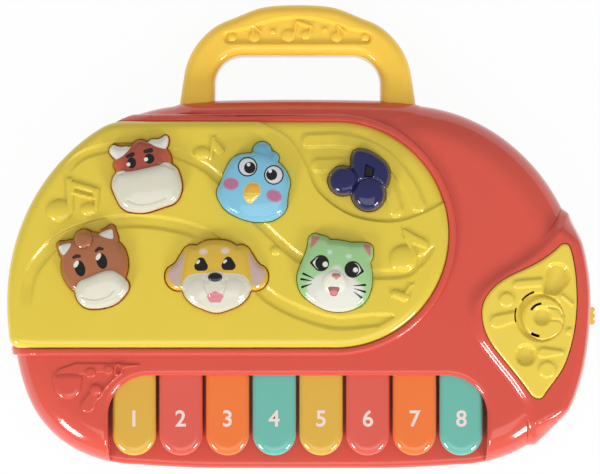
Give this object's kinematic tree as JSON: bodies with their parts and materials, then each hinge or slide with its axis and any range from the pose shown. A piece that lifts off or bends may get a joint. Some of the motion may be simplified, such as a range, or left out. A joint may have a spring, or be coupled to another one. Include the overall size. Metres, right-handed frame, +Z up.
{
  "type": "toy electronic keyboard",
  "caption": "Toy electronic keyboard with hinged piano keys, press buttons shaped as animal faces, a speaker pod, a carrying handle, a slide switch and a battery compartment.",
  "frame": {"origin": "under the middle of the toy's overall box, on the surface that it lies on", "axes": "+X to the right of a child at the keys, +Y towards the handle, +Z up out of the face with the keys and buttons"},
  "size_m": [0.2514, 0.198, 0.0453],
  "materials": {
    "casing_red": "glossy moulded ABS",
    "panel_yellow": "glossy moulded ABS",
    "handle_yellow": "glossy moulded ABS",
    "key_yellow": "glossy moulded ABS",
    "key_coral": "glossy moulded ABS",
    "key_orange": "glossy moulded ABS",
    "key_teal": "glossy moulded ABS",
    "cow_brown": "glossy, printed face",
    "bird_blue": "glossy, printed face",
    "note_blue": "glossy moulded ABS",
    "horse_brown": "glossy, printed face",
    "dog_yellow": "glossy, printed face",
    "cat_green": "glossy, printed face",
    "steel": "plated steel",
    "dome_rubber": "matte silicone",
    "board_green": "solder resist",
    "black_epoxy": "matte",
    "cone_paper": "matte",
    "cell_jacket": "printed sleeve",
    "contact_brass": "plated spring brass"
  },
  "bodies": {
    "casing": {"top_housing": "casing_red", "bottom_housing": "casing_red", "button_panel": "panel_yellow", "speaker_grille": "panel_yellow", "handle_front": "handle_yellow", "handle_rear": "handle_yellow", "key_pivot_rod": "steel", "key_dome_strip": "dome_rubber", "key_board": "board_green", "button_domes": "dome_rubber", "main_board": "board_green", "sound_chip": "black_epoxy", "board_capacitor": "black_epoxy", "speaker_frame": "steel", "speaker_cone": "cone_paper", "speaker_magnet": "steel", "slide_switch": "steel", "battery_cells": "cell_jacket", "battery_contacts": "contact_brass", "board_screws": "steel", "speaker_screws": "steel", "housing_screws": "steel"},
    "switch": {"switch_knob": "handle_yellow", "switch_lever": "black_epoxy"},
    "door": {"battery_door": "casing_red", "door_screws": "steel"},
    "key_1": {"key_1": "key_yellow"},
    "key_2": {"key_2": "key_coral"},
    "key_3": {"key_3": "key_orange"},
    "key_4": {"key_4": "key_teal"},
    "key_5": {"key_5": "key_yellow"},
    "key_6": {"key_6": "key_coral"},
    "key_7": {"key_7": "key_orange"},
    "key_8": {"key_8": "key_teal"},
    "button_cow": {"button_cow": "cow_brown"},
    "button_bird": {"button_bird": "bird_blue"},
    "button_note": {"button_note": "note_blue"},
    "button_horse": {"button_horse": "horse_brown"},
    "button_dog": {"button_dog": "dog_yellow"},
    "button_cat": {"button_cat": "cat_green"}
  },
  "joints": [
    {"name": "key_1_hinge", "type": "hinge", "parent": "casing", "child": "key_1", "pos_m": [-0.00085, -0.04158, 0.0298], "axis": [1, 0, 0], "range_deg": [0, 3.2], "stiffness_Nm_per_rad": 0.6, "deforming": ["key_dome_strip"]},
    {"name": "key_2_hinge", "type": "hinge", "parent": "casing", "child": "key_2", "pos_m": [-0.00085, -0.04158, 0.0298], "axis": [1, 0, 0], "range_deg": [0, 3.2], "stiffness_Nm_per_rad": 0.6, "deforming": ["key_dome_strip"]},
    {"name": "key_3_hinge", "type": "hinge", "parent": "casing", "child": "key_3", "pos_m": [-0.00085, -0.04158, 0.0298], "axis": [1, 0, 0], "range_deg": [0, 3.2], "stiffness_Nm_per_rad": 0.6, "deforming": ["key_dome_strip"]},
    {"name": "key_4_hinge", "type": "hinge", "parent": "casing", "child": "key_4", "pos_m": [-0.00085, -0.04158, 0.0298], "axis": [1, 0, 0], "range_deg": [0, 3.2], "stiffness_Nm_per_rad": 0.6, "deforming": ["key_dome_strip"]},
    {"name": "key_5_hinge", "type": "hinge", "parent": "casing", "child": "key_5", "pos_m": [-0.00085, -0.04158, 0.0298], "axis": [1, 0, 0], "range_deg": [0, 3.2], "stiffness_Nm_per_rad": 0.6, "deforming": ["key_dome_strip"]},
    {"name": "key_6_hinge", "type": "hinge", "parent": "casing", "child": "key_6", "pos_m": [-0.00085, -0.04158, 0.0298], "axis": [1, 0, 0], "range_deg": [0, 3.2], "stiffness_Nm_per_rad": 0.6, "deforming": ["key_dome_strip"]},
    {"name": "key_7_hinge", "type": "hinge", "parent": "casing", "child": "key_7", "pos_m": [-0.00085, -0.04158, 0.0298], "axis": [1, 0, 0], "range_deg": [0, 3.2], "stiffness_Nm_per_rad": 0.6, "deforming": ["key_dome_strip"]},
    {"name": "key_8_hinge", "type": "hinge", "parent": "casing", "child": "key_8", "pos_m": [-0.00085, -0.04158, 0.0298], "axis": [1, 0, 0], "range_deg": [0, 3.2], "stiffness_Nm_per_rad": 0.6, "deforming": ["key_dome_strip"]},
    {"name": "button_cow_press", "type": "slide", "parent": "casing", "child": "button_cow", "axis": [0, 0, -1], "range_m": [0, 0.002], "stiffness_N_per_m": 800, "deforming": ["button_domes"]},
    {"name": "button_bird_press", "type": "slide", "parent": "casing", "child": "button_bird", "axis": [0, 0, -1], "range_m": [0, 0.002], "stiffness_N_per_m": 800, "deforming": ["button_domes"]},
    {"name": "button_note_press", "type": "slide", "parent": "casing", "child": "button_note", "axis": [0, 0, -1], "range_m": [0, 0.002], "stiffness_N_per_m": 800, "deforming": ["button_domes"]},
    {"name": "button_horse_press", "type": "slide", "parent": "casing", "child": "button_horse", "axis": [0, 0, -1], "range_m": [0, 0.002], "stiffness_N_per_m": 800, "deforming": ["button_domes"]},
    {"name": "button_dog_press", "type": "slide", "parent": "casing", "child": "button_dog", "axis": [0, 0, -1], "range_m": [0, 0.002], "stiffness_N_per_m": 800, "deforming": ["button_domes"]},
    {"name": "button_cat_press", "type": "slide", "parent": "casing", "child": "button_cat", "axis": [0, 0, -1], "range_m": [0, 0.002], "stiffness_N_per_m": 800, "deforming": ["button_domes"]},
    {"name": "switch_slide", "type": "slide", "parent": "casing", "child": "switch", "axis": [0, 1, 0], "range_m": [-0.003, 0.003]},
    {"name": "door_lift_off", "type": "slide", "parent": "casing", "child": "door", "axis": [0, 0, -1], "range_m": [0, 0.022]}
  ]
}
